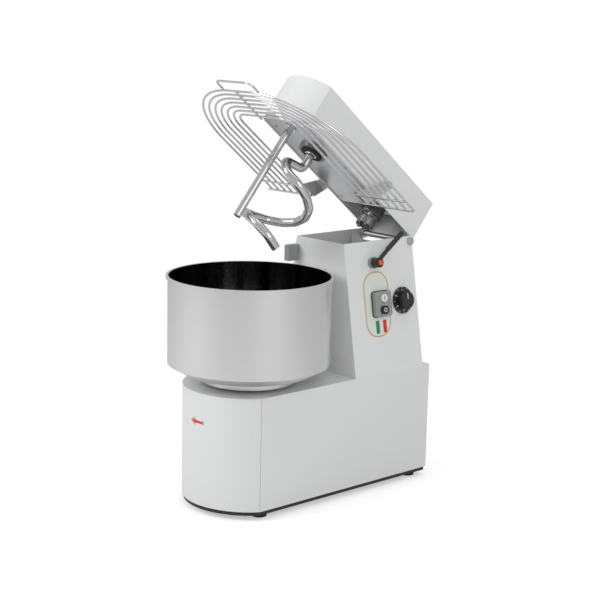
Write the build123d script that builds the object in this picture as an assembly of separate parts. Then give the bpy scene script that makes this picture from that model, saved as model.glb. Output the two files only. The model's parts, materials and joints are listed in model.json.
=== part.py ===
from build123d import *
from math import atan2, cos, radians, sin
import os

# Lifting-head spiral dough mixer with a bowl that lifts out, in millimetres.
# The front faces -Y, the controls are on the +X side, and the ground is z = 0.
# The sizes below are measured from the bowl's axis, about which the bowl turns.
# The head is stored raised, on its stop. The finished model is moved along Y at
# the end, so that its origin is on the ground below the middle of the whole.

# ---- driving dimensions ----
base_half_width = 157.0
base_side_front = -88.0
base_rear = 551.0
base_bulge = 90.0
base_bottom = 25.0
base_top = 333.0
sheet = 2.5
seam = 1.0
foot_height = 14.0
foot_radius = 20.0
foot_inset = 38.0

column_front = 254.0
column_rear = 522.0
column_top = 700.0
column_top_half = 95.0
ear_thickness = 4.0
ear_radius = 15.0
pivot_y = 513.0
pivot_z = 686.0
pin_radius = 8.0
pin_head_radius = 11.0
rear_panel_top = 665.0

head_half_width = 90.0
head_bulge = 42.0
head_rear_reach = 15.0
head_length = 540.0
head_above_pivot = 140.0
head_depth = 124.0
head_raise = 39.4
underplate_recess = 3.0
underplate_thickness = 3.0
underplate_rear = 375.0
bridge_length = 104.0
bridge_thickness = 5.0
bridge_height = 34.0

bowl_rim_radius = 225.0
bowl_radius = 220.0
bowl_wall = 2.5
bowl_floor_radius = 180.0
bowl_bottom = 367.0
bowl_chamfer_top = 390.0
bowl_rim_top = 628.0
bowl_rim_height = 7.0
bowl_foot_inner = 100.0
bowl_foot_outer = 112.0
bowl_foot_depth = 12.0

turntable_radius = 127.0
turntable_thickness = 25.0
groove_depth = 14.0
turntable_shaft_radius = 20.0

spiral_axis_y = 120.0
spiral_radius = 76.0
spiral_rod_radius = 12.0
spiral_top = 600.0
spiral_low = 393.0
spiral_start_angle = -90.0
spiral_turn = 450.0
spiral_steps = 15
spiral_shaft_radius = 17.0
breaker_y = 12.0
breaker_radius = 10.0
breaker_low = 411.0

guard_drop = 40.0
guard_wire_radius = 3.0
guard_outer_half = 285.0
guard_inner_half = 111.0
guard_outer_front = -194.0
guard_inner_front = -88.0
guard_wires = 7
guard_leg_end = 292.0
guard_cross_y = (240.0, 284.0)
guard_pivot_y = 330.0
guard_pivot_height = 48.0
guard_boss_radius = 12.0
guard_pin_radius = 6.0
guard_arm_thickness = 4.0
handle_half = 70.0
handle_reach = 32.0

drive_y = 420.0
jaw_radius = 26.0
jaw_height = 28.0
jaw_meet = 656.0
jaw_teeth = 8
drive_shaft_radius = 10.0
motor_radius = 70.0
motor_bottom = 150.0
motor_top = 390.0
gearbox_half = 62.0
gearbox_top = 560.0
bowl_sprocket_radius = 90.0
motor_sprocket_radius = 25.0
bowl_chain_z = 90.0
spiral_sprocket_radius = 60.0
input_sprocket_radius = 28.0
head_chain_height = 84.0
sprocket_thickness = 6.0
chain_width = 8.0
chain_thickness = 6.0

label_size = (100.0, 186.0)
label_place = (361.0, 525.0)
label_thickness = 1.0
switch_size = (64.0, 70.0)
switch_place = (373.0, 525.0)
switch_depth = 12.0
gasket_rim = 4.0
gasket_thickness = 2.0
start_place = (373.0, 541.0)
start_radius = 11.0
stop_place = (373.0, 508.0)
stop_radius = 13.0
button_proud = 6.0
button_travel = 4.0
timer_place = (461.0, 525.0)
timer_radius = 38.0
knob_radius = 24.0
knob_height = 20.0
lever_place = (355.0, 640.0)
lever_boss_radius = 16.0
lever_boss_height = 10.0
lever_hub_radius = 14.0
lever_hub_height = 22.0
lever_reach = 118.0
lever_angle = 38.0
lever_push_radius = 7.0
push_depth = 3.0
push_travel = 2.5

bearing_wall = 14.0
bearing_height = 16.0
running = 0.05
gap = 0.3
fit = 0.02

# ---- worked out ----
head_top = pivot_z + head_above_pivot
head_bottom = head_top - head_depth
head_rear = pivot_y + head_rear_reach
head_side_front = head_rear - head_length
guard_z = head_bottom - guard_drop
guard_pivot_z = head_bottom + guard_pivot_height
underplate_z = head_bottom + underplate_recess
bridge_z = head_bottom + bridge_height
head_chain_z = head_bottom + head_chain_height
turntable_top = bowl_bottom
turntable_bottom = turntable_top - turntable_thickness
column_height = column_top - base_top
slope = (base_half_width - column_top_half) / column_height
slope_angle = atan2(base_half_width - column_top_half, column_height)


# ---- helpers ----
def block(x0, x1, y0, y1, z0, z1):
    return Pos((x0 + x1) / 2, (y0 + y1) / 2, (z0 + z1) / 2) * Box(x1 - x0, y1 - y0, z1 - z0)


def post(radius, z0, z1, x=0.0, y=0.0):
    return Pos(x, y, (z0 + z1) / 2) * Cylinder(radius, z1 - z0)


def ring(outer, inner, z0, z1, x=0.0, y=0.0):
    return post(outer, z0, z1, x, y) - post(inner, z0 - 1, z1 + 1, x, y)


def axle(radius, x0, x1, y, z):
    return Pos((x0 + x1) / 2, y, z) * Rot(0, 90, 0) * Cylinder(radius, x1 - x0)


def stud(radius, y0, y1, x, z):
    return Pos(x, (y0 + y1) / 2, z) * Rot(90, 0, 0) * Cylinder(radius, y1 - y0)


def both_sides(shape):
    return [shape, mirror(shape, Plane.YZ)]


def bow_front(half, side_front, rear, bulge, z0, z1):
    """A plan with straight sides, a flat rear and a bowed front, from z0 to z1."""
    bow = ThreePointArc((-half, side_front, z0), (0, side_front - bulge, z0), (half, side_front, z0))
    back = Polyline((half, side_front, z0), (half, rear, z0), (-half, rear, z0), (-half, side_front, z0))
    return extrude(Face(Wire(bow.edges() + back.edges())), amount=z1 - z0, dir=(0, 0, 1))


def bow_inset(half, side_front, rear, bulge, inset, z0, z1):
    """The same plan moved in by inset all round."""
    radius = (half * half + bulge * bulge) / (2 * bulge)
    centre = side_front - bulge + radius
    inner = half - inset
    inner_radius = radius - inset
    inner_front = centre - (inner_radius**2 - inner**2) ** 0.5
    return bow_front(inner, inner_front, rear - inset, inner_front - centre + inner_radius, z0, z1)


def taper(inset, z0, z1, front, rear):
    """The column's tapered block, moved in by inset at its sides, between two heights."""
    low = base_half_width - slope * (z0 - base_top) - inset
    high = base_half_width - slope * (z1 - base_top) - inset
    outline = Polyline((-low, front, z0), (low, front, z0), (high, front, z1), (-high, front, z1), close=True)
    return extrude(Face(Wire(outline.edges())), amount=rear - front, dir=(0, 1, 0))


def side_plane(place, lift=0.0):
    """A plane on the column's +X face: its x runs to the rear, its y up and its z outward."""
    y, z = place
    out = Vector(cos(slope_angle), 0, sin(slope_angle))
    face_x = base_half_width - slope * (z - base_top)
    return Plane(origin=Vector(face_x, y, z) + out * lift, x_dir=(0, 1, 0), z_dir=out)


def disc_on(place, radius, lift, height):
    return side_plane(place, lift) * extrude(Circle(radius), amount=height)


def sprocket(radius, teeth, bore, z, x, y):
    """A toothed wheel whose tooth tips are at radius."""
    body = ring(radius - 4, bore, z, z + sprocket_thickness, x, y)
    for i in range(teeth):
        tooth = Pos(radius - 5, 0, 0) * Box(10, 5, sprocket_thickness)
        body += Pos(x, y, z + sprocket_thickness / 2) * Rot(0, 0, 360 * i / teeth) * tooth
    return body


def chain_loop(near, near_radius, far, far_radius, z):
    """A closed chain round two sprockets on the Y axis, clear of their teeth."""
    outline = []
    for extra in (chain_thickness, 0.0):
        a = near_radius + gap + extra
        b = far_radius + gap + extra
        lean = (a - b) / (far - near)
        up = (1 - lean * lean) ** 0.5
        first = Vector(a * up, near + a * lean, z)
        second = Vector(b * up, far + b * lean, z)
        flip = lambda p: Vector(-p.X, p.Y, p.Z)
        edges = [
            Line(first, second),
            ThreePointArc(second, (0, far + b, z), flip(second)),
            Line(flip(second), flip(first)),
            ThreePointArc(flip(first), (0, near - a, z), first),
        ]
        wire = Wire([e for part in edges for e in part.edges()])
        outline.append(extrude(Face(wire), amount=chain_width, dir=(0, 0, 1)))
    return outline[0] - outline[1]


def bent_rod(points, radii, radius):
    """A round rod along straight runs joined by tangent arcs."""
    path = FilletPolyline(*points, radius=radii)
    start = Plane(origin=path @ 0, z_dir=path % 0)
    return sweep(start * Circle(radius), path=path)


def jaw(z0, z1, teeth_up):
    """One half of the face coupling, with a ring of teeth on one end."""
    tooth_height = 6.0
    low = z0 if teeth_up else z0 + tooth_height
    high = z1 - tooth_height if teeth_up else z1
    body = ring(jaw_radius, drive_shaft_radius, low, high, 0, drive_y)
    tooth_z = high if teeth_up else z0
    for i in range(jaw_teeth):
        bar = block(14, 25, -3, 3, tooth_z, tooth_z + tooth_height)
        body += Pos(0, drive_y, 0) * Rot(0, 0, 360 * i / jaw_teeth) * bar
    return body


def raised(shape):
    """Turns a piece of the head from its closed place to its raised place."""
    return Pos(0, pivot_y, pivot_z) * Rot(-head_raise, 0, 0) * Pos(0, -pivot_y, -pivot_z) * shape


parts = {}

# ---- base ----
base_args = (base_half_width, base_side_front, base_rear, base_bulge)
outer = bow_front(*base_args, base_bottom, base_top)
inner = bow_inset(*base_args, sheet, base_bottom - 1, base_top - sheet)
shell = outer - inner
window = block(-base_half_width + 30, base_half_width - 30, column_front + 20, column_rear - 20, 0, base_top + 1)
collar_radius = 55.0
shell -= window
shell -= post(collar_radius + 1, base_top - 10, base_top + 1)
front_zone = block(-400, 400, -400, base_side_front, 0, base_top - sheet)
rear_zone = block(-base_half_width + sheet, base_half_width - sheet, base_rear - sheet, base_rear + 1,
                  0, base_top - sheet)
parts["base_shell"] = shell - front_zone - rear_zone
seam_zone = block(-400, 400, base_side_front - seam, base_side_front + 1, 0, base_top)
front_wall = bow_front(*base_args, base_bottom, base_top - sheet - fit) - bow_inset(
    *base_args, sheet, base_bottom - 1, base_top)
parts["front_cover"] = (front_wall & front_zone) - seam_zone
parts["base_rear_panel"] = block(-base_half_width + sheet + fit, base_half_width - sheet - fit,
                                 base_rear - sheet, base_rear, base_bottom, base_top - sheet - fit)
parts["base_plate"] = bow_inset(*base_args, 4.0, foot_height, base_bottom)
feet_y = (base_side_front + 30, base_rear - foot_inset)
foot_x = base_half_width - foot_inset
parts["rubber_feet"] = Compound([post(foot_radius, 0, foot_height, x, y)
                                 for x in (-foot_x, foot_x) for y in feet_y])

# ---- turntable and its bearings ----
shaft_bottom = base_bottom + 15
housing_bore = turntable_shaft_radius + bearing_wall
parts["turntable_housing"] = (ring(collar_radius, housing_bore, 130, base_top)
                              + ring(collar_radius + 20, housing_bore, base_top, base_top + 4))
foot_bearing = (post(housing_bore, base_bottom, base_bottom + 30)
                - post(turntable_shaft_radius + running, shaft_bottom - gap, base_bottom + 31))
bearing_rings = [ring(housing_bore - fit, turntable_shaft_radius + running, z, z + bearing_height)
                 for z in (135, base_top - bearing_height - 2)]
parts["turntable_bearings"] = Compound(bearing_rings + [foot_bearing])
parts["turntable_shaft"] = post(turntable_shaft_radius, shaft_bottom, turntable_bottom)
disc = post(turntable_radius, turntable_bottom, turntable_top)
groove = ring(bowl_foot_outer + gap, bowl_foot_inner - gap, turntable_top - groove_depth, turntable_top + 1)
parts["turntable"] = disc - groove
parts["bowl_sprocket"] = sprocket(bowl_sprocket_radius, 36, turntable_shaft_radius, bowl_chain_z, 0, 0)
chain_z_shift = (chain_width - sprocket_thickness) / 2
parts["bowl_chain"] = chain_loop(0, bowl_sprocket_radius, drive_y, motor_sprocket_radius,
                                 bowl_chain_z - chain_z_shift)

# ---- bowl ----
profile = Polyline(
    (0, 0, bowl_bottom), (bowl_floor_radius, 0, bowl_bottom), (bowl_radius, 0, bowl_chamfer_top),
    (bowl_radius, 0, bowl_rim_top - bowl_rim_height), (bowl_rim_radius, 0, bowl_rim_top - bowl_rim_height),
    (bowl_rim_radius, 0, bowl_rim_top), (bowl_radius - bowl_wall, 0, bowl_rim_top),
    (bowl_radius - bowl_wall, 0, bowl_chamfer_top + 1), (bowl_floor_radius - 1, 0, bowl_bottom + bowl_wall),
    (0, 0, bowl_bottom + bowl_wall), close=True)
bowl = revolve(Face(Wire(profile.edges())), Axis.Z)
bowl += ring(bowl_foot_outer, bowl_foot_inner, bowl_bottom - bowl_foot_depth, bowl_bottom)
parts["bowl"] = bowl

# ---- motor and gearbox ----
parts["motor"] = (post(motor_radius, motor_bottom, motor_top, 0, drive_y)
                  - post(drive_shaft_radius + gap, motor_bottom - 1, motor_top + 1, 0, drive_y))
parts["gearbox"] = (block(-gearbox_half, gearbox_half, drive_y - gearbox_half, drive_y + gearbox_half,
                          motor_top, gearbox_top)
                    - post(drive_shaft_radius + gap, motor_top - 1, gearbox_top + 1, 0, drive_y))
bracket_z = gearbox_top
bracket = taper(sheet + fit, bracket_z, bracket_z + 4, column_front + sheet, column_rear - sheet - fit)
parts["motor_bracket"] = bracket - post(drive_shaft_radius + running, bracket_z - 1, bracket_z + 5, 0, drive_y)
jaw_low = jaw_meet - 1.0 - jaw_height
parts["drive_shaft"] = post(drive_shaft_radius, bowl_chain_z - 15, jaw_meet - 9, 0, drive_y)
parts["motor_sprocket"] = sprocket(motor_sprocket_radius, 10, drive_shaft_radius, bowl_chain_z, 0, drive_y)
parts["lower_jaw"] = jaw(jaw_low, jaw_meet - 1.0, True)

# ---- column ----
column = taper(0, base_top, column_top, column_front, column_rear)
hollow = taper(sheet, base_top, column_top, column_front + sheet, column_rear + 1)
ears = []
for ear in both_sides(block(column_top_half - ear_thickness, column_top_half, pivot_y - 45, pivot_y,
                            pivot_z - 40, column_top)
                      + axle(ear_radius, column_top_half - ear_thickness, column_top_half, pivot_y, pivot_z)):
    ears.append(ear)
column_shell = column - hollow
for ear in ears:
    column_shell += ear
column_shell -= axle(pin_radius + fit, -130, 130, pivot_y, pivot_z)
parts["column_shell"] = column_shell
panel = taper(sheet + fit, base_top + fit, rear_panel_top, column_rear - sheet, column_rear)
for ear in ears:
    panel -= ear
parts["column_rear_panel"] = panel
pin_end = base_half_width - slope * (pivot_z - pin_head_radius - base_top) + gap
pin = axle(pin_radius, -pin_end, pin_end, pivot_y, pivot_z)
for head_of_pin in both_sides(axle(pin_head_radius, pin_end, pin_end + 4.5, pivot_y, pivot_z)):
    pin += head_of_pin
parts["pivot_pin"] = pin
parts["stop_box"] = block(-102, -84, 214, column_front, 632, 677)
parts["latch_striker"] = block(-12, 12, column_front + sheet, column_front + 28, column_top - 30, column_top - 8)
column_screws = [stud(5, column_rear, column_rear + 3, x, z)
                 for x in (-85, 85) for z in (base_top + 40, rear_panel_top - 100)]
base_screws = [stud(5, base_rear, base_rear + 3, x, z)
               for x in (-130, 130) for z in (base_bottom + 30, base_top - 40)]
parts["rear_panel_screws"] = Compound(column_screws + base_screws)
parts["cable_gland"] = (stud(14, base_rear, base_rear + 12, 90, 90) - stud(5, base_rear - 1, base_rear + 13, 90, 90))

# ---- controls on the column's side ----
label = side_plane(label_place) * extrude(RectangleRounded(*label_size, 44), amount=label_thickness)
parts["control_label"] = label
gasket_size = (switch_size[0] + gasket_rim, switch_size[1] + gasket_rim)
gasket = side_plane(switch_place, label_thickness) * extrude(
    RectangleRounded(*gasket_size, 10), amount=gasket_thickness)
parts["switch_gasket"] = gasket
housing = side_plane(switch_place, label_thickness + gasket_thickness) * extrude(
    RectangleRounded(*switch_size, 8), amount=switch_depth)
housing_top = label_thickness + gasket_thickness + switch_depth
pocket = button_travel + 3.0
for place, radius in ((start_place, start_radius), (stop_place, stop_radius)):
    housing -= disc_on(place, radius + running, housing_top - pocket, pocket + 1)
parts["switch_housing"] = housing
button_height = button_proud + 3.0
button_lift = housing_top - 3.0
parts["start_button"] = disc_on(start_place, start_radius, button_lift, button_height)
parts["stop_button"] = disc_on(stop_place, stop_radius, button_lift, button_height)
parts["timer_bezel"] = disc_on(timer_place, timer_radius, 0, 5)
parts["timer_knob"] = disc_on(timer_place, knob_radius, 5 + gap, knob_height)
boss = disc_on(lever_place, lever_boss_radius, 0, lever_boss_height)
parts["lever_boss"] = boss
hub_lift = lever_boss_height + gap
lever_frame = side_plane(lever_place, hub_lift)
hub = lever_frame * extrude(Circle(lever_hub_radius), amount=lever_hub_height)
arm_start = Vector(0, 0, lever_hub_height / 2)
bend = Vector(lever_reach * 0.45 * cos(radians(lever_angle)), lever_reach * 0.45 * sin(radians(lever_angle)), 14)
tip = Vector(lever_reach * cos(radians(lever_angle)), lever_reach * sin(radians(lever_angle)), 24)
for a, b, r in ((arm_start, bend, 6.0), (bend, tip, 7.0)):
    run = b - a
    hub += lever_frame * (Plane(origin=a, z_dir=run) * extrude(Circle(r), amount=run.length))
    hub += lever_frame * (Pos(*b) * Sphere(r))
push_pocket = push_depth + push_travel + 1.0
hub -= lever_frame * (Pos(0, 0, lever_hub_height - push_pocket)
                      * extrude(Circle(lever_push_radius + running), amount=push_pocket + 1))
parts["clamp_lever"] = hub
parts["lever_push_button"] = lever_frame * (
    Pos(0, 0, lever_hub_height - push_depth) * extrude(Circle(lever_push_radius), amount=push_depth + 4))

# ---- head, built closed and then raised ----
head = {}
head_args = (head_half_width, head_side_front, head_rear, head_bulge)
head_outer = bow_front(*head_args, head_bottom, head_top)
head["head_shell"] = head_outer - bow_inset(*head_args, sheet, head_bottom - 1, head_top - sheet)
plate = bow_inset(*head_args, sheet + fit, underplate_z, underplate_z + underplate_thickness)
plate = plate & block(-200, 200, -300, underplate_rear, 0, 1000)
plate -= post(40, 0, 1000, 0, spiral_axis_y)
head["underplate"] = plate
spiral_bore = spiral_shaft_radius + bearing_wall
plate_top = underplate_z + underplate_thickness
head["spiral_housing"] = (ring(40 - fit, spiral_bore, underplate_z - 10, plate_top + 60, 0, spiral_axis_y)
                          + ring(58, 40 - fit, plate_top, plate_top + 8, 0, spiral_axis_y))
spiral_bearings = [ring(spiral_bore - fit, spiral_shaft_radius + running, z, z + bearing_height, 0, spiral_axis_y)
                   for z in (underplate_z - 4, plate_top + 40)]
head["seal_ring"] = ring(spiral_bore, spiral_shaft_radius + gap, underplate_z - 14, underplate_z - 10 + 4,
                         0, spiral_axis_y) - ring(60, spiral_bore - fit, underplate_z - 10, 1000, 0, spiral_axis_y)
head["breaker_rod"] = (post(breaker_radius, breaker_low, underplate_z, 0, breaker_y)
                       + post(16, underplate_z - 6, underplate_z, 0, breaker_y))
lug = (axle(14, head_half_width - sheet - 6, head_half_width - sheet, pivot_y, pivot_z)
       + block(head_half_width - sheet - 6, head_half_width - sheet, pivot_y - 40, pivot_y + 8,
               head_bottom + 2, head_bottom + 60))
lug += block(head_half_width - sheet - 6, head_half_width - sheet, pivot_y - 12, pivot_y + 12,
             pivot_z, head_bottom + 20)
lug -= axle(pin_radius + running, 0, 200, pivot_y, pivot_z)
head["hinge_lugs"] = Compound(both_sides(lug))
bridge_y0 = drive_y - bridge_length / 2
bridge_y1 = min(drive_y + bridge_length / 2, pivot_y - 42)
inner_half = head_half_width - sheet - fit
input_bore = drive_shaft_radius + bearing_wall
head["input_bridge"] = (block(-inner_half, inner_half, bridge_y0, bridge_y1, bridge_z, bridge_z + bridge_thickness)
                        - post(33, 0, 1000, 0, drive_y))
head["input_housing"] = (ring(33 - fit, input_bore, bridge_z - 40, bridge_z + 30, 0, drive_y)
                         + ring(45, 33 - fit, bridge_z + bridge_thickness, bridge_z + bridge_thickness + 6,
                                0, drive_y))
input_bearings = [ring(input_bore - fit, drive_shaft_radius + running, z, z + bearing_height, 0, drive_y)
                  for z in (bridge_z - 38, bridge_z + 10)]
head["head_bearings"] = Compound(spiral_bearings + input_bearings)
head["head_chain"] = chain_loop(spiral_axis_y, spiral_sprocket_radius, drive_y, input_sprocket_radius,
                                head_chain_z - chain_z_shift)
screw_places = [(x, y) for x in (-70, 70) for y in (20, 190, 350)]
head["underplate_screws"] = Compound([post(5, underplate_z - 2.5, underplate_z, x, y) for x, y in screw_places])
boss_end = head_half_width + 12
cap_start = boss_end + 2 * gap + guard_arm_thickness
head["guard_pivots"] = Compound(both_sides(
    axle(guard_boss_radius, head_half_width, boss_end, guard_pivot_y, guard_pivot_z)
    + axle(guard_pin_radius, boss_end, cap_start, guard_pivot_y, guard_pivot_z)
    + axle(guard_pin_radius + 4, cap_start, cap_start + 4, guard_pivot_y, guard_pivot_z)))

# ---- spiral hook and its drive ----
helix = []
for i in range(spiral_steps + 1):
    angle = radians(spiral_start_angle + spiral_turn * i / spiral_steps)
    z = spiral_top + (spiral_low - spiral_top) * i / spiral_steps
    helix.append((spiral_radius * cos(angle), spiral_axis_y + spiral_radius * sin(angle), z))
neck = [(0, spiral_axis_y, underplate_z - 15), (0, spiral_axis_y, spiral_top + 42),
        (0, spiral_axis_y - spiral_radius * 0.95, spiral_top + 22)]
route = neck + helix[1:]
radii = [16.0, 26.0] + [34.0] * (len(route) - 4)
head["spiral_hook"] = bent_rod(route, radii, spiral_rod_radius)
hook_top = underplate_z - 15
head["spiral_shaft"] = post(spiral_shaft_radius, hook_top, head_chain_z + 14, 0, spiral_axis_y)
head["spiral_sprocket"] = sprocket(spiral_sprocket_radius, 24, spiral_shaft_radius, head_chain_z, 0, spiral_axis_y)
head["input_shaft"] = post(drive_shaft_radius, jaw_meet + 8, head_chain_z + 14, 0, drive_y)
head["input_sprocket"] = sprocket(input_sprocket_radius, 11, drive_shaft_radius, head_chain_z, 0, drive_y)
head["upper_jaw"] = jaw(jaw_meet, jaw_meet + jaw_height, False)

# ---- wire guard ----
wires = []
for i in range(guard_wires):
    share = i / (guard_wires - 1)
    half = guard_outer_half + (guard_inner_half - guard_outer_half) * share
    front = guard_outer_front + (guard_inner_front - guard_outer_front) * share
    corner = min(half * 0.88, 40 + (guard_wires - 1 - i) * 34)
    points = [(half, guard_leg_end, guard_z), (half, front, guard_z),
              (-half, front, guard_z), (-half, guard_leg_end, guard_z)]
    wires.append(bent_rod(points, [corner, corner], guard_wire_radius))
head["guard_outer_wires"] = Compound(wires[:2])
head["guard_middle_wires"] = Compound(wires[2:5])
head["guard_inner_wires"] = Compound(wires[5:])
cross_z = guard_z - 2 * guard_wire_radius - fit
arm_x = boss_end + gap
cross_bars = []
for y in guard_cross_y:
    cross_bars += both_sides(axle(guard_wire_radius, arm_x + 3, guard_outer_half + 4, y, cross_z))
cross_bars.append(stud(guard_wire_radius, guard_outer_front - 4, guard_inner_front + 4, 0, cross_z))
head["guard_cross_bars"] = Compound(cross_bars)
arm_low = cross_z + guard_wire_radius + fit
arm_outline = Polyline(
    (arm_x, guard_cross_y[0] - 8, arm_low), (arm_x, guard_cross_y[1] + 8, arm_low),
    (arm_x, guard_pivot_y + 12, guard_pivot_z), (arm_x, guard_pivot_y - 12, guard_pivot_z + 2), close=True)
arm = extrude(Face(Wire(arm_outline.edges())), amount=guard_arm_thickness, dir=(1, 0, 0))
arm += axle(13, arm_x, arm_x + guard_arm_thickness, guard_pivot_y, guard_pivot_z)
arm -= axle(guard_pin_radius + running, 0, 300, guard_pivot_y, guard_pivot_z)
head["guard_arms"] = Compound(both_sides(arm))
handle_z = guard_z + 2 * guard_wire_radius + fit
handle_front = guard_outer_front - handle_reach
head["guard_handle"] = bent_rod(
    [(handle_half, guard_outer_front + 6, handle_z), (handle_half, handle_front, handle_z),
     (-handle_half, handle_front, handle_z), (-handle_half, guard_outer_front + 6, handle_z)],
    [16.0, 16.0], guard_wire_radius)

for name, shape in head.items():
    if isinstance(shape, Compound) and len(shape.solids()) > 1:
        shape = Compound([raised(s) for s in shape.solids()])
    else:
        shape = raised(shape)
    parts[name] = shape

lowest = min(shape.bounding_box().min.Y for shape in parts.values())
highest = max(shape.bounding_box().max.Y for shape in parts.values())
shift = -(lowest + highest) / 2

os.makedirs("parts", exist_ok=True)
for name, shape in parts.items():
    moved = Compound([Pos(0, shift, 0) * solid for solid in shape.solids()])
    export_step(moved, f"parts/{name}.step")
print(len(parts), "nodes, bowl axis at y =", round(shift, 3))
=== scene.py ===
import json
from math import cos, pi, radians, sin

import bmesh
import bpy
from mathutils import Matrix, Vector


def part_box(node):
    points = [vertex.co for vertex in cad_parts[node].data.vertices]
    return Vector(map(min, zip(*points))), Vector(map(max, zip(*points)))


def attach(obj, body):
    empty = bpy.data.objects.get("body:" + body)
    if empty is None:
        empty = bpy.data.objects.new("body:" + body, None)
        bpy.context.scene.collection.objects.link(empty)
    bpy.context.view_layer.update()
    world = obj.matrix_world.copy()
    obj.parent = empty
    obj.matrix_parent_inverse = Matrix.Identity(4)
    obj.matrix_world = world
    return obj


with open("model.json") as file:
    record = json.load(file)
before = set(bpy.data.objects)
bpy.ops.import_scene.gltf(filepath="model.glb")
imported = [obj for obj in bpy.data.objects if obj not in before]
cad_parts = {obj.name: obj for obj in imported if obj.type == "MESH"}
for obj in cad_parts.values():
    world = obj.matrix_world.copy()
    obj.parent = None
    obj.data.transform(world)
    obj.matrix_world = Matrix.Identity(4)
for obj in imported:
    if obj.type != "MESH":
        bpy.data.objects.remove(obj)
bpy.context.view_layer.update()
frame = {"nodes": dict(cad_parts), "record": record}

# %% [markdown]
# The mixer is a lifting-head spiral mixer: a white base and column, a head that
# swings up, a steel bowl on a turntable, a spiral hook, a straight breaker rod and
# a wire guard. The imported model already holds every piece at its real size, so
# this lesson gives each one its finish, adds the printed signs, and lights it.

MM = 0.001
bowl_low, bowl_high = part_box("bowl")
bowl_y = (bowl_low[1] + bowl_high[1]) / 2
bowl_axis = Vector((0, bowl_y, 0))
print("CAD pieces:", len(frame["nodes"]), "bowl axis at y", round(bowl_y, 3))

# %% [markdown]
# The camera stands to the front right, a little higher than the raised head, with
# a long lens that keeps the column's edges nearly parallel. A camera can be aimed
# by a constraint or by angles. Here its matrix is built from three directions,
# right, up and back, because that also gives it a slight roll. Places on the
# machine are measured from the bowl's axis, which the CAD bowl's box gives.

# %% Camera
turn, rise, roll = radians(47.35), radians(11.29), radians(1.22)
camera_distance, aim_right, aim_height = 3.986, 0.135, 0.563
lens_length, sensor_width = 89.17, 36.0
back = Vector((sin(turn) * cos(rise), -cos(turn) * cos(rise), sin(rise)))
level = Vector((cos(turn), sin(turn), 0))
above = back.cross(level)
right = level * cos(roll) + above * sin(roll)
up = above * cos(roll) - level * sin(roll)
aim = bowl_axis + Vector((0, 0, aim_height)) + level * aim_right
camera = bpy.data.objects.new("camera", bpy.data.cameras.new("camera"))
camera.data.lens = lens_length
camera.data.sensor_width = sensor_width
turned = Matrix((right, up, back)).transposed()
camera.matrix_world = Matrix.Translation(aim + back * camera_distance) @ turned.to_4x4()
bpy.context.scene.collection.objects.link(camera)
bpy.context.scene.camera = camera
bpy.context.scene.view_settings.view_transform = "Standard"
print("camera at", [round(c, 2) for c in camera.matrix_world.translation])


# %% [markdown]
# Every material below is a small network of nodes. One short helper joins an
# output to an input, so that a network reads as a list of its wires.

# %% Wires between nodes
def link(tree, source, socket):
    tree.links.new(source, socket)


print("helper: link")

# %% [markdown]
# The machine stands on a pale studio floor that keeps a soft shadow under it. A
# studio hangs a curved sheet of paper behind the object. A flat floor is simpler:
# it adds some light of its own, and fades to plain white further out, so that no
# horizon shows. Both are for camera rays only, so no more light reaches the machine.

# %% Floor
half_floor = 12.0
floor_grey, floor_glow = 0.75, 0.45
fade_start, fade_end = 0.7, 2.2
floor_mesh = bpy.data.meshes.new("floor")
floor_corners = [(-half_floor, -half_floor, 0), (half_floor, -half_floor, 0),
                 (half_floor, half_floor, 0), (-half_floor, half_floor, 0)]
floor_mesh.from_pydata(floor_corners, [], [(0, 1, 2, 3)])
floor = bpy.data.objects.new("floor", floor_mesh)
bpy.context.scene.collection.objects.link(floor)
floor_paint = bpy.data.materials.new("studio floor")
floor_paint.use_nodes = True
tree = floor_paint.node_tree
tree.nodes.clear()
matt = tree.nodes.new("ShaderNodeBsdfDiffuse")
matt.inputs["Color"].default_value = (floor_grey, floor_grey, floor_grey, 1)
glow = tree.nodes.new("ShaderNodeEmission")
rays = tree.nodes.new("ShaderNodeLightPath")
lift = tree.nodes.new("ShaderNodeMath")
lift.operation = "MULTIPLY"
lift.inputs[1].default_value = floor_glow
both = tree.nodes.new("ShaderNodeAddShader")
where = tree.nodes.new("ShaderNodeTexCoord")
reach = tree.nodes.new("ShaderNodeVectorMath")
reach.operation = "LENGTH"
far = tree.nodes.new("ShaderNodeMapRange")
far.inputs["From Min"].default_value = fade_start
far.inputs["From Max"].default_value = fade_end
seen = tree.nodes.new("ShaderNodeMath")
seen.operation = "MULTIPLY"
bright = tree.nodes.new("ShaderNodeEmission")
fade = tree.nodes.new("ShaderNodeMixShader")
output = tree.nodes.new("ShaderNodeOutputMaterial")
link(tree, rays.outputs["Is Camera Ray"], lift.inputs[0])
link(tree, lift.outputs[0], glow.inputs["Strength"])
link(tree, matt.outputs[0], both.inputs[0])
link(tree, glow.outputs[0], both.inputs[1])
link(tree, where.outputs["Object"], reach.inputs[0])
link(tree, reach.outputs["Value"], far.inputs["Value"])
link(tree, far.outputs["Result"], seen.inputs[0])
link(tree, rays.outputs["Is Camera Ray"], seen.inputs[1])
link(tree, seen.outputs[0], fade.inputs[0])
link(tree, both.outputs[0], fade.inputs[1])
link(tree, bright.outputs[0], fade.inputs[2])
link(tree, fade.outputs[0], output.inputs["Surface"])
floor.data.materials.append(floor_paint)
print("floor", half_floor * 2, "m wide")

# %% [markdown]
# Behind the floor the studio is white. A picture of a real studio could light the
# scene, but a plain colour is enough for pale paint. The camera sees it at full
# white, and the machine is lit by a dimmer one, so the lamps can still model it.

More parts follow.
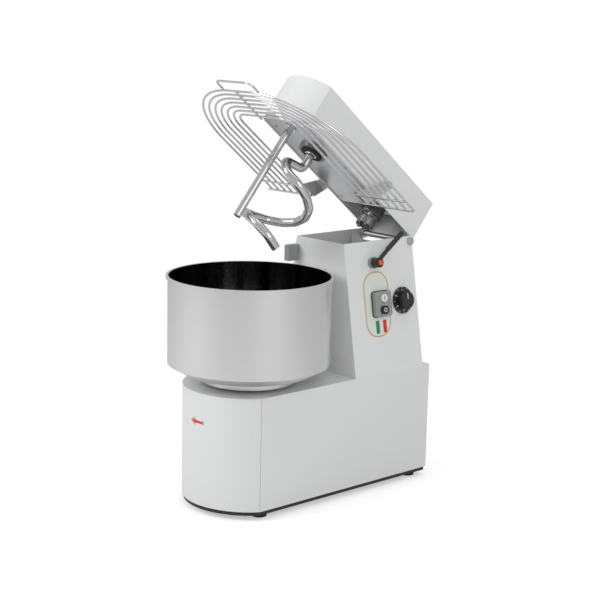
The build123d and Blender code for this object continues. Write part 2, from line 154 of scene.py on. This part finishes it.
# %% World
room_light, seen_white = 0.6, 1.0
world = bpy.data.worlds.new("studio")
bpy.context.scene.world = world
world.use_nodes = True
tree = world.node_tree
tree.nodes.clear()
dim = tree.nodes.new("ShaderNodeBackground")
dim.inputs["Strength"].default_value = room_light
white = tree.nodes.new("ShaderNodeBackground")
white.inputs["Strength"].default_value = seen_white
for light in (dim, white):
    light.inputs["Color"].default_value = (1, 1, 1, 1)
rays = tree.nodes.new("ShaderNodeLightPath")
choose = tree.nodes.new("ShaderNodeMixShader")
output = tree.nodes.new("ShaderNodeOutputWorld")
link(tree, rays.outputs["Is Camera Ray"], choose.inputs[0])
link(tree, dim.outputs[0], choose.inputs[1])
link(tree, white.outputs[0], choose.inputs[2])
link(tree, choose.outputs[0], output.inputs["Surface"])
print("world: room light", room_light)


# %% [markdown]
# Three broad lamps do the work of a studio's soft boxes. Small lamps or a sun would
# give hard shadows that the machine doesn't have. The key is the brightest and
# stands to the left of the camera, so the bowed front is paler than the long side.
# The fill opens the long side, and the top lamp lights the upper faces.

# %% Lamps
def soft_lamp(name, position, size, power):
    """A square lamp, placed from the bowl's axis and turned to the machine's middle."""
    lamp = bpy.data.objects.new(name, bpy.data.lights.new(name, "AREA"))
    lamp.data.size = size
    lamp.data.energy = power
    spot = bowl_axis + Vector(position)
    lamp.location = spot
    lamp.rotation_euler = (machine_middle - spot).to_track_quat("-Z", "Y").to_euler()
    bpy.context.scene.collection.objects.link(lamp)


machine_middle = bowl_axis + Vector((0, 0.2, 0.55))
soft_lamp("key", (-1.6, -3.0, 2.6), size=1.8, power=66)
soft_lamp("fill", (3.2, -0.6, 1.8), size=2.0, power=25)
soft_lamp("top", (0.2, 0.6, 3.4), size=2.0, power=14)
print("lamps: 3")

# %% [markdown]
# Powder coat, brushed steel and moulded plastic all show a fine grain and a slow
# change of tone. Each material could have its own pair of noises. One node group
# makes both instead, so they are built once. It gives out only two values, and
# each material decides what they do.

# %% Grain group
grain_detail, tone_scale = 3.0, 7.0
grain = bpy.data.node_groups.new("grain and tone", "ShaderNodeTree")
grain.interface.new_socket("Stretch", in_out="INPUT", socket_type="NodeSocketVector")
grain.interface.new_socket("Scale", in_out="INPUT", socket_type="NodeSocketFloat")
grain.interface.new_socket("Grain", in_out="OUTPUT", socket_type="NodeSocketFloat")
grain.interface.new_socket("Tone", in_out="OUTPUT", socket_type="NodeSocketFloat")
enter = grain.nodes.new("NodeGroupInput")
leave = grain.nodes.new("NodeGroupOutput")
where = grain.nodes.new("ShaderNodeTexCoord")
stretch = grain.nodes.new("ShaderNodeVectorMath")
stretch.operation = "MULTIPLY"
fine = grain.nodes.new("ShaderNodeTexNoise")
fine.inputs["Detail"].default_value = grain_detail
slow = grain.nodes.new("ShaderNodeTexNoise")
slow.inputs["Scale"].default_value = tone_scale
link(grain, where.outputs["Object"], stretch.inputs[0])
link(grain, enter.outputs["Stretch"], stretch.inputs[1])
link(grain, stretch.outputs[0], fine.inputs["Vector"])
link(grain, enter.outputs["Scale"], fine.inputs["Scale"])
link(grain, where.outputs["Object"], slow.inputs["Vector"])
link(grain, fine.outputs["Fac"], leave.inputs["Grain"])
link(grain, slow.outputs["Fac"], leave.inputs["Tone"])
print("group:", grain.name)

# %% [markdown]
# The real surfaces differ in colour, shine and grain, but not in kind, so one
# helper makes them all. It is a Principled shader fed by the group: the slow tone
# shifts the colour, and the grain moves the roughness and a small bump.

# %% A finish from the group
smoother, rougher = 0.8, 1.25
relief_depth = 0.0004


def finish(name, colour, rough, metal=0.0, scale=900.0, stretch_by=(1, 1, 1),
           bump=0.03, shade=0.93, coat=0.0):
    """A material whose darkest tone is its colour times shade."""
    material = bpy.data.materials.new(name)
    material.use_nodes = True
    tree = material.node_tree
    shader = tree.nodes["Principled BSDF"]
    shader.inputs["Metallic"].default_value = metal
    shader.inputs["Coat Weight"].default_value = coat
    pattern = tree.nodes.new("ShaderNodeGroup")
    pattern.node_tree = grain
    pattern.inputs["Stretch"].default_value = stretch_by
    pattern.inputs["Scale"].default_value = scale
    tone = tree.nodes.new("ShaderNodeMix")
    tone.data_type = "RGBA"
    tone.inputs["A"].default_value = (*[c * shade for c in colour], 1)
    tone.inputs["B"].default_value = (*colour, 1)
    spread = tree.nodes.new("ShaderNodeMapRange")
    spread.inputs["To Min"].default_value = rough * smoother
    spread.inputs["To Max"].default_value = rough * rougher
    relief = tree.nodes.new("ShaderNodeBump")
    relief.inputs["Strength"].default_value = bump
    relief.inputs["Distance"].default_value = relief_depth
    link(tree, pattern.outputs["Tone"], tone.inputs["Factor"])
    link(tree, tone.outputs["Result"], shader.inputs["Base Color"])
    link(tree, pattern.outputs["Grain"], spread.inputs["Value"])
    link(tree, spread.outputs["Result"], shader.inputs["Roughness"])
    link(tree, pattern.outputs["Grain"], relief.inputs["Height"])
    link(tree, relief.outputs["Normal"], shader.inputs["Normal"])
    return material


print("helper: finish")

# %% [markdown]
# The shells are white powder coat, the works are plated, ground or cast steel, and
# the controls are moulded plastic. The record names these finishes by slot, so a
# table with one row for each slot is the plainest way to hold them. The bowl's
# noise is pressed flat in height, which draws fine lines round it as brushing does.

# %% Finishes
brushed_round = (0.6, 0.6, 30)
finishes = {
    "white_paint": finish("white powder coat", (0.76, 0.765, 0.77), 0.38, bump=0.12, shade=0.97, coat=0.15),
    "black_steel": finish("black paint", (0.02, 0.02, 0.022), 0.45, bump=0.1),
    "rubber": finish("black rubber", (0.018, 0.018, 0.018), 0.8, scale=600, bump=0.3),
    "zinc_steel": finish("zinc plate", (0.66, 0.67, 0.68), 0.34, 1.0, scale=160, bump=0.06, shade=0.8),
    "bearing_steel": finish("ground steel", (0.55, 0.55, 0.56), 0.25, 1.0, scale=400),
    "bowl_steel": finish("satin stainless", (0.78, 0.782, 0.785), 0.3, 1.0, 26, brushed_round, 0.006, 0.96),
    "wire_steel": finish("bright wire", (0.72, 0.72, 0.73), 0.16, 1.0, scale=300, bump=0.02),
    "hook_steel": finish("polished hook steel", (0.66, 0.66, 0.67), 0.14, 1.0, scale=220, bump=0.03),
    "motor_paint": finish("motor paint", (0.12, 0.13, 0.15), 0.5, scale=500, bump=0.2),
    "cast_housing": finish("machined casting", (0.3, 0.3, 0.31), 0.42, 1.0, scale=350, bump=0.2, shade=0.75),
    "chain_steel": finish("oiled chain", (0.16, 0.16, 0.165), 0.35, 1.0, scale=500, bump=0.2),
    "label_film": finish("label film", (0.72, 0.76, 0.69), 0.42, bump=0.04, shade=0.97),
    "grey_plastic": finish("grey plastic", (0.3, 0.31, 0.31), 0.5, scale=700, bump=0.15),
    "black_plastic": finish("black plastic", (0.016, 0.016, 0.018), 0.36, scale=700, bump=0.12),
    "white_plastic": finish("white plastic", (0.78, 0.78, 0.77), 0.35, scale=700, bump=0.05),
    "orange_plastic": finish("orange plastic", (0.8, 0.13, 0.015), 0.35, scale=700, bump=0.05),
}
print("finishes:", len(finishes))

# %% [markdown]
# Inside, the bowl is polished, and its colour there is a painted reflection: dark,
# with pale upright streaks. A second material on the inner faces would need the faces
# picked out. A mask from the distance to the bowl's axis does it without: it paints the
# dark reflection on, and smooths, only the inner wall above the bowl's floor. A noise
# with its height taken out draws the painted streaks.

# %% Polished inside of the bowl, with a painted reflection
inner_wall, wall_middle = 218.0 * MM, 219.4 * MM
bowl_floor_top = 391 * MM
# Painted reflection: the inner wall's steel colour runs from nearly black to pale streaks.
reflection_streak_scale, reflection_streak_start, reflection_streak_end = 16.0, 0.42, 0.68
darkest_painted_reflection, palest_painted_reflection, polish = 0.035, 0.6, 0.12
bowl_steel = finishes["bowl_steel"]
tree = bowl_steel.node_tree
shader = tree.nodes["Principled BSDF"]
outside_colour = shader.inputs["Base Color"].links[0].from_socket
outside_rough = shader.inputs["Roughness"].links[0].from_socket
where = tree.nodes.new("ShaderNodeTexCoord")
from_axis = tree.nodes.new("ShaderNodeVectorMath")
from_axis.operation = "SUBTRACT"
from_axis.inputs[1].default_value = bowl_axis
flat = tree.nodes.new("ShaderNodeVectorMath")
flat.operation = "MULTIPLY"
flat.inputs[1].default_value = (1, 1, 0)
reach = tree.nodes.new("ShaderNodeVectorMath")
reach.operation = "LENGTH"
inside = tree.nodes.new("ShaderNodeMapRange")
inside.inputs["From Min"].default_value = wall_middle
inside.inputs["From Max"].default_value = inner_wall
above_floor = tree.nodes.new("ShaderNodeSeparateXYZ")
floor_mask = tree.nodes.new("ShaderNodeMath")
floor_mask.operation = "GREATER_THAN"
floor_mask.inputs[1].default_value = bowl_floor_top
polish_and_reflection_mask = tree.nodes.new("ShaderNodeMath")
polish_and_reflection_mask.operation = "MULTIPLY"
reflection_streaks = tree.nodes.new("ShaderNodeTexNoise")
reflection_streaks.inputs["Scale"].default_value = reflection_streak_scale
# The streak noise becomes a painted reflection colour, dark with pale streaks.
painted_reflection = tree.nodes.new("ShaderNodeMapRange")
painted_reflection.inputs["From Min"].default_value = reflection_streak_start
painted_reflection.inputs["From Max"].default_value = reflection_streak_end
painted_reflection.inputs["To Min"].default_value = darkest_painted_reflection
painted_reflection.inputs["To Max"].default_value = palest_painted_reflection
colour = tree.nodes.new("ShaderNodeMix")
colour.data_type = "RGBA"
smooth = tree.nodes.new("ShaderNodeMix")
smooth.inputs["B"].default_value = polish
link(tree, where.outputs["Object"], from_axis.inputs[0])
link(tree, from_axis.outputs[0], flat.inputs[0])
link(tree, flat.outputs[0], reach.inputs[0])
link(tree, flat.outputs[0], reflection_streaks.inputs["Vector"])
link(tree, reach.outputs["Value"], inside.inputs["Value"])
link(tree, where.outputs["Object"], above_floor.inputs[0])
link(tree, above_floor.outputs["Z"], floor_mask.inputs[0])
link(tree, inside.outputs["Result"], polish_and_reflection_mask.inputs[0])
link(tree, floor_mask.outputs[0], polish_and_reflection_mask.inputs[1])
link(tree, reflection_streaks.outputs["Fac"], painted_reflection.inputs["Value"])
# The mask puts the painted reflection colour and the real polish on the inner wall only.
link(tree, polish_and_reflection_mask.outputs[0], colour.inputs["Factor"])
link(tree, outside_colour, colour.inputs["A"])
link(tree, painted_reflection.outputs["Result"], colour.inputs["B"])
link(tree, colour.outputs["Result"], shader.inputs["Base Color"])
link(tree, polish_and_reflection_mask.outputs[0], smooth.inputs["Factor"])
link(tree, outside_rough, smooth.inputs["A"])
link(tree, smooth.outputs["Result"], shader.inputs["Roughness"])
print("bowl: polished inside", round(inner_wall, 3), "m")

# %% [markdown]
# Each piece of the machine is made in one finish. They could be dressed one by one,
# but the record already names a finish slot for each, so one loop dresses them all.

# %% Dress the CAD pieces
slots = {row["node"]: row["material_slot"] for row in frame["record"]["subparts"]}
for node, thing in frame["nodes"].items():
    if not thing.data.materials:
        thing.data.materials.append(None)
    for index in range(len(thing.material_slots)):
        thing.material_slots[index].material = finishes[slots[node]]
print("dressed:", len(slots))

# %% [markdown]
# The controls sit on the column's sloping side. Every sign could be turned by hand,
# but they would drift off the face. A helper turns places measured on that face (to
# the rear, up the face, and out from it) into places in the room.

# %% The sloping side
base_half, column_half = 157 * MM, 95 * MM
base_top, column_top = 333 * MM, 700 * MM
slope = (base_half - column_half) / (column_top - base_top)
lean = Vector((column_top - base_top, 0, base_half - column_half)).normalized()
rearward = Vector((0, 1, 0))
upward = lean.cross(rearward)


def side_place(y, z, out=0.0):
    """The matrix of a spot on the side face: x to the rear, y up the face, z outward."""
    spot = bowl_axis + Vector((base_half - slope * (z - base_top), y, z)) + lean * out
    axes = Matrix((rearward, upward, lean)).transposed()
    return Matrix.Translation(spot) @ axes.to_4x4()


print("side leans", round(slope, 3))


# %% [markdown]
# The signs are plain shapes: bars, rounded frames and rings. They could be drawn as
# an image, but outlines made by a formula stay sharp at any size. All outlines are
# in millimetres, round a zero in their middle.

# %% Outlines
def ring_outline(width, height, corner, steps=12):
    """A rounded rectangle's outline, centred on zero."""
    points = []
    for quarter, (sx, sy) in enumerate(((1, 1), (-1, 1), (-1, -1), (1, -1))):
        for i in range(steps + 1):
            angle = pi / 2 * (quarter + i / steps)
            points.append((sx * (width / 2 - corner) + corner * cos(angle),
                           sy * (height / 2 - corner) + corner * sin(angle)))
    return points


def disc_outline(across):
    """A circle's outline: a square whose corners are as round as they can be."""
    return ring_outline(across, across, across / 2)


def bar(width, height, x=0.0, y=0.0, angle=0.0):
    """A rectangle's outline, turned by angle about zero after it is moved."""
    corners = [(x - width / 2, y - height / 2), (x + width / 2, y - height / 2),
               (x + width / 2, y + height / 2), (x - width / 2, y + height / 2)]
    return [(a * cos(angle) - b * sin(angle), a * sin(angle) + b * cos(angle)) for a, b in corners]


print("outline of a disc:", len(disc_outline(1)), "points")


# %% [markdown]
# Ink and film are thin layers on the surface. Paint on the surface's own material
# would need a map of it, so each sign is a thin solid that lies there instead. It
# is set to ride on the body that carries it.

# %% Thin marks
def mark(name, outline, matrix, material, body, thick=0.3, hole=None):
    """A flat printed piece, with an optional hole whose outline has as many points."""
    shape = bmesh.new()
    count = len(outline)
    loops = []
    for z in (0.0, thick):
        for line in (outline, hole) if hole else (outline,):
            loops.append([shape.verts.new((x * MM, y * MM, z * MM)) for x, y in line])
    if hole:
        low, low_in, high, high_in = loops
        for i in range(count):
            j = (i + 1) % count
            shape.faces.new((low[i], low[j], high[j], high[i]))
            shape.faces.new((low_in[j], low_in[i], high_in[i], high_in[j]))
            shape.faces.new((high[i], high[j], high_in[j], high_in[i]))
            shape.faces.new((low[j], low[i], low_in[i], low_in[j]))
    else:
        low, high = loops
        shape.faces.new(list(reversed(low)))
        shape.faces.new(high)
        for i in range(count):
            j = (i + 1) % count
            shape.faces.new((low[i], low[j], high[j], high[i]))
    mesh = bpy.data.meshes.new(name)
    shape.to_mesh(mesh)
    shape.free()
    mesh.transform(matrix)
    mesh.materials.append(material)
    piece = bpy.data.objects.new(name, mesh)
    bpy.context.scene.collection.objects.link(piece)
    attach(piece, body)
    return piece


print("helper: mark")

# %% [markdown]
# The signs are printed in five inks, and a bright metal ring lies round the stop
# button. Flat colours would do, but the same grain as on the other pieces keeps
# them from looking pasted on.

# %% Inks
ink_white = finish("white ink", (0.78, 0.78, 0.78), 0.5)
ink_black = finish("black ink", (0.02, 0.02, 0.02), 0.5)
ink_brown = finish("brown border", (0.5, 0.26, 0.1), 0.5)
ink_red = finish("red ink", (0.66, 0.03, 0.025), 0.45)
ink_green = finish("green ink", (0.02, 0.25, 0.07), 0.45)
silver = finish("silver ring", (0.7, 0.7, 0.71), 0.2, 1.0)
print("inks ready")

# %% [markdown]
# The control label has a thin brown border, and below the switch a small sticker
# with three plain stripes. The border could be a curve with a depth. It is made as
# a rounded frame with a rounded hole, because that lies flat on the film.

# %% Label marks
film = 1.0
label_width, label_height, label_corner, border = 96, 182, 42, 2.5
stripe_width, stripe_height, stripe_pitch = 13.5, 36, 14
label_at = side_place(361 * MM, 525 * MM, film * MM)
label_hole = ring_outline(label_width - 2 * border, label_height - 2 * border, label_corner - border)
mark("label_border", ring_outline(label_width, label_height, label_corner), label_at, ink_brown,
     "frame", hole=label_hole)
stripe_at = side_place(370 * MM, 462 * MM, film * MM)
for name, ink, step in (("green", ink_green, -1), ("white", ink_white, 0), ("red", ink_red, 1)):
    stripe = bar(stripe_width, stripe_height, step * stripe_pitch, 0)
    mark("stripe_" + name, stripe, stripe_at, ink, "frame")
print("label marks: 4")

# %% [markdown]
# The start button carries a plain bar and the stop button a plain ring, the
# everyday signs for on and off. Letters would need a font, and these need only an
# outline each. They ride on their buttons, so they go in when a button is pressed.

# %% Button signs
gasket, housing, button = 2.0, 12.0, 6.0
housing_face = (film + gasket + housing) * MM
button_face = (film + gasket + housing + button) * MM
button_y, start_z, stop_z = 373 * MM, 541 * MM, 508 * MM
sign_height, bar_width, ring_hole = 12, 2.4, 8
collar_across, collar_hole, collar_thick = 32, 26.6, 1.2
mark("start_sign", bar(bar_width, sign_height), side_place(button_y, start_z, button_face), ink_black,
     "start_button")
mark("stop_sign", disc_outline(sign_height), side_place(button_y, stop_z, button_face), ink_white,
     "stop_button", hole=disc_outline(ring_hole))
mark("stop_collar", disc_outline(collar_across), side_place(button_y, stop_z, housing_face), silver,
     "frame", collar_thick, disc_outline(collar_hole))
print("signs: 3")

# %% [markdown]
# The timer's dial has a tick every five minutes and a number every ten. The ticks
# are bars set out by a loop. The numbers are text objects, because a font draws
# figures better than outlines typed in by hand. The knob carries a white pointer.

# %% Timer dial
timer_y, timer_z = 461 * MM, 525 * MM
dial_face, knob_face = 5 * MM, 25.3 * MM
ticks, tick_length, tick_width, tick_radius = 12, 4, 1.2, 35
numbers, minutes_apart, number_radius = 6, 10, 28.6 * MM
number_size, number_relief, number_lift = 6.5 * MM, 0.1 * MM, 0.15 * MM
pointer_length, pointer_width, pointer_radius = 16, 2.4, 12
dial_at = side_place(timer_y, timer_z, dial_face)
for i in range(ticks):
    angle = pi / 2 - 2 * pi * i / ticks
    tick = bar(tick_length, tick_width, tick_radius, 0, angle)
    mark(f"tick_{i}", tick, dial_at, ink_white, "frame")
for i in range(numbers):
    angle = pi / 2 - 2 * pi * i / numbers
    words = bpy.data.curves.new(f"number_{i}", "FONT")
    words.body = str(i * minutes_apart)
    words.size = number_size
    words.extrude = number_relief
    words.align_x = "CENTER"
    words.align_y = "CENTER"
    words.materials.append(ink_white)
    number = bpy.data.objects.new(f"dial_number_{i}", words)
    spot = Matrix.Translation((number_radius * cos(angle), number_radius * sin(angle), number_lift))
    number.matrix_world = dial_at @ spot
    bpy.context.scene.collection.objects.link(number)
    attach(number, "frame")
pointer = bar(pointer_length, pointer_width, pointer_radius, 0, pi / 2)
mark("knob_pointer", pointer, side_place(timer_y, timer_z, knob_face), ink_white,
     "timer_knob")
print("dial: ticks", ticks)

# %% [markdown]
# A red outlined arrow on the bowed front shows which way the bowl turns. It could
# be projected on the front with a modifier. Three flat arrows, each smaller than
# the one below, have their corners moved round the bow instead, by its own radius.

# %% Arrow
bow_half, bow_depth, bow_start = 157, 90, -88
bow_radius = (bow_half**2 + bow_depth**2) / (2 * bow_depth)
bow_centre = bow_start - bow_depth + bow_radius
arrow_height = 254.0
arrow_length, tail_half, head_half, head_length = 52, 5.5, 11, 18


def arrow_outline(grow):
    """An arrow that points to the left, larger all round by about grow."""
    length = arrow_length + grow * 2
    tail, head = tail_half + grow * 0.7, head_half + grow * 1.5
    neck = -length / 2 + head_length
    return [(-length / 2, 0), (neck, -head), (neck, -tail), (length / 2, -tail),
            (length / 2, tail), (neck, tail), (neck, head)]


def bend_round(piece, lift_by):
    """Moves a flat piece's corners to the bowed front, lift_by millimetres above it."""
    for corner in piece.data.vertices:
        angle = corner.co.x / MM / bow_radius
        radius = bow_radius + lift_by + corner.co.z / MM
        height = arrow_height + corner.co.y / MM
        corner.co = bowl_axis + Vector((radius * sin(angle), bow_centre - radius * cos(angle), height)) * MM


for name, ink, grow, lift_by in (("arrow_edge", ink_red, 0, 0.15), ("arrow_fill", ink_white, -1.6, 0.3),
                                 ("arrow_core", ink_red, -3.0, 0.45)):
    bend_round(mark(name, arrow_outline(grow), Matrix(), ink, "frame"), lift_by)
print("arrow round a", round(bow_radius), "mm bow")
